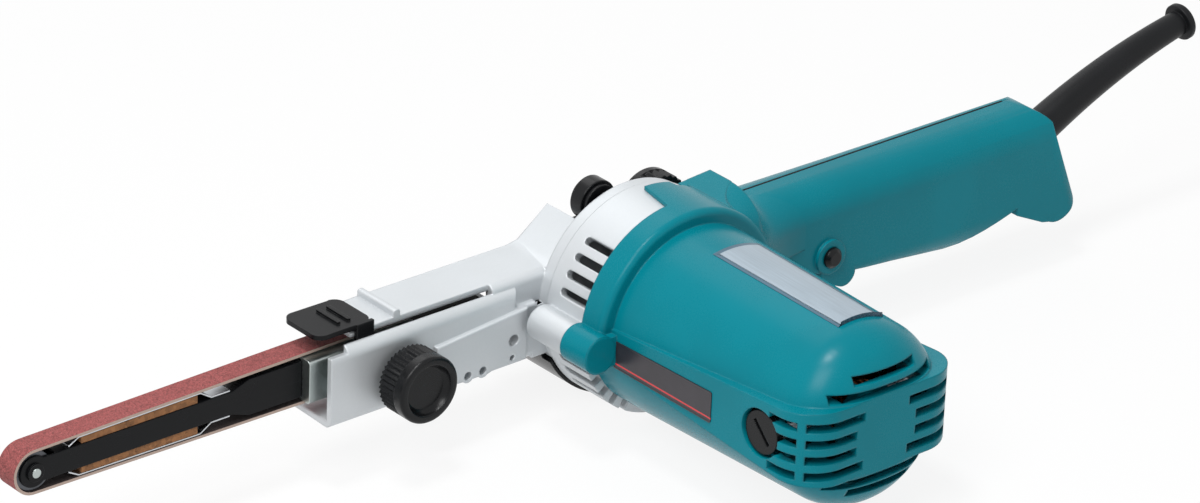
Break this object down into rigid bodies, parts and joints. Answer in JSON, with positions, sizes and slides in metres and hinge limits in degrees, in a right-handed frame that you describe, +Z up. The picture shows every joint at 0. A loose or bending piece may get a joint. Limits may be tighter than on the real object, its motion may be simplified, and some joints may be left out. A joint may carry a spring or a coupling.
{
  "type": "power file",
  "caption": "Narrow belt file sander: a motor across the tool drives a slim abrasive belt round a sprung arm on a swinging holder, with a handle behind.",
  "frame": {"origin": "middle of the underside of the bounding box, tool held level as in use", "axes": "+X along the tool from the belt's nose to the cord guard, +Y from the motor end to the belt cover, +Z up"},
  "size_m": [0.505, 0.1576, 0.0787],
  "materials": {
    "teal_plastic": "satin moulded",
    "silver_paint": "satin silver paint",
    "black_plastic": "fine texture",
    "black_steel": "black oxide",
    "zinc_steel": "zinc plated",
    "bare_steel": "turned",
    "spring_steel": "rolled",
    "copper": "enamelled wire",
    "carbon": "pressed carbon",
    "rubber": "matt moulded",
    "abrasive": "coated grit",
    "cork": "cork strip"
  },
  "bodies": {
    "body": {"motor_housing": "teal_plastic", "handle_cover": "teal_plastic", "gear_housing": "silver_paint", "field_core": "bare_steel", "field_coils": "copper", "front_bearing": "bare_steel", "rear_bearing": "bare_steel", "bearing_sleeve": "rubber", "brush_holders": "black_plastic", "carbon_brushes": "carbon", "brush_springs": "spring_steel", "brush_caps": "black_plastic", "fan_baffle": "black_plastic", "switch_body": "black_plastic", "cord_guard": "rubber", "cord_clamp": "black_plastic", "clamp_screws": "zinc_steel", "housing_screws": "zinc_steel", "handle_screws": "zinc_steel", "pivot_ring": "bare_steel"},
    "rotor": {"armature_shaft": "bare_steel", "armature_core": "bare_steel", "armature_windings": "copper", "commutator": "copper", "cooling_fan": "black_plastic", "drive_pulley": "bare_steel", "pulley_nut": "bare_steel"},
    "head": {"arm_holder": "silver_paint", "belt_cover": "black_plastic", "sanding_belt": "abrasive", "tension_spring": "spring_steel"},
    "tension_arm": {"arm": "black_steel", "arm_bracket": "zinc_steel", "thumb_lever": "black_steel", "upper_platen": "spring_steel", "lower_platen": "spring_steel", "upper_pad": "cork", "lower_pad": "cork", "roller_pin": "bare_steel"},
    "idler": {"idler_roller": "bare_steel"},
    "tracking": {"tracking_knob": "black_plastic"},
    "clamp": {"clamp_knob": "black_plastic"},
    "cover_fixing": {"cover_knob": "black_plastic"},
    "trigger_lever": {"trigger": "black_plastic"},
    "lock": {"lock_button": "black_plastic"}
  },
  "joints": [
    {"name": "rotor_spin", "type": "hinge", "parent": "body", "child": "rotor", "pos_m": [-0.00688, 0.0658, 0.0392], "axis": [0, 1, 0], "continuous": true},
    {"name": "head_swing", "type": "hinge", "parent": "body", "child": "head", "pos_m": [-0.00688, 0.0658, 0.0392], "axis": [0, 1, 0], "range_deg": [-45, 45]},
    {"name": "arm_slide", "type": "slide", "parent": "head", "child": "tension_arm", "axis": [1, 0, 0], "range_m": [0, 0.009], "stiffness_N_per_m": 2200, "springref_m": -0.009, "deforming": ["tension_spring"]},
    {"name": "idler_spin", "type": "hinge", "parent": "tension_arm", "child": "idler", "pos_m": [-0.24422, 0.0658, 0.0392], "axis": [0, 1, 0], "continuous": true},
    {"name": "tracking_turn", "type": "hinge", "parent": "head", "child": "tracking", "pos_m": [-0.10428, 0.0458, 0.0351], "axis": [0, -1, 0], "range_deg": [-180, 180]},
    {"name": "clamp_turn", "type": "hinge", "parent": "head", "child": "clamp", "pos_m": [0.01012, 0.0598, 0.0612], "axis": [0, 1, 0], "range_deg": [-180, 0]},
    {"name": "cover_turn", "type": "hinge", "parent": "head", "child": "cover_fixing", "pos_m": [-0.01608, 0.0598, 0.0703], "axis": [0, 1, 0], "range_deg": [-360, 0]},
    {"name": "trigger_pull", "type": "hinge", "parent": "body", "child": "trigger_lever", "pos_m": [0.06762, 0.0458, 0.0432], "axis": [0, 1, 0], "range_deg": [0, 8], "stiffness_Nm_per_rad": 0.8, "springref_deg": -5.73},
    {"name": "lock_press", "type": "slide", "parent": "body", "child": "lock", "axis": [0, 1, 0], "range_m": [0, 0.0025], "stiffness_N_per_m": 400, "springref_m": -0.003}
  ],
  "couplings": [
    {"joint": "idler_spin", "follows": "rotor_spin", "ratio": 1.4388}
  ]
}
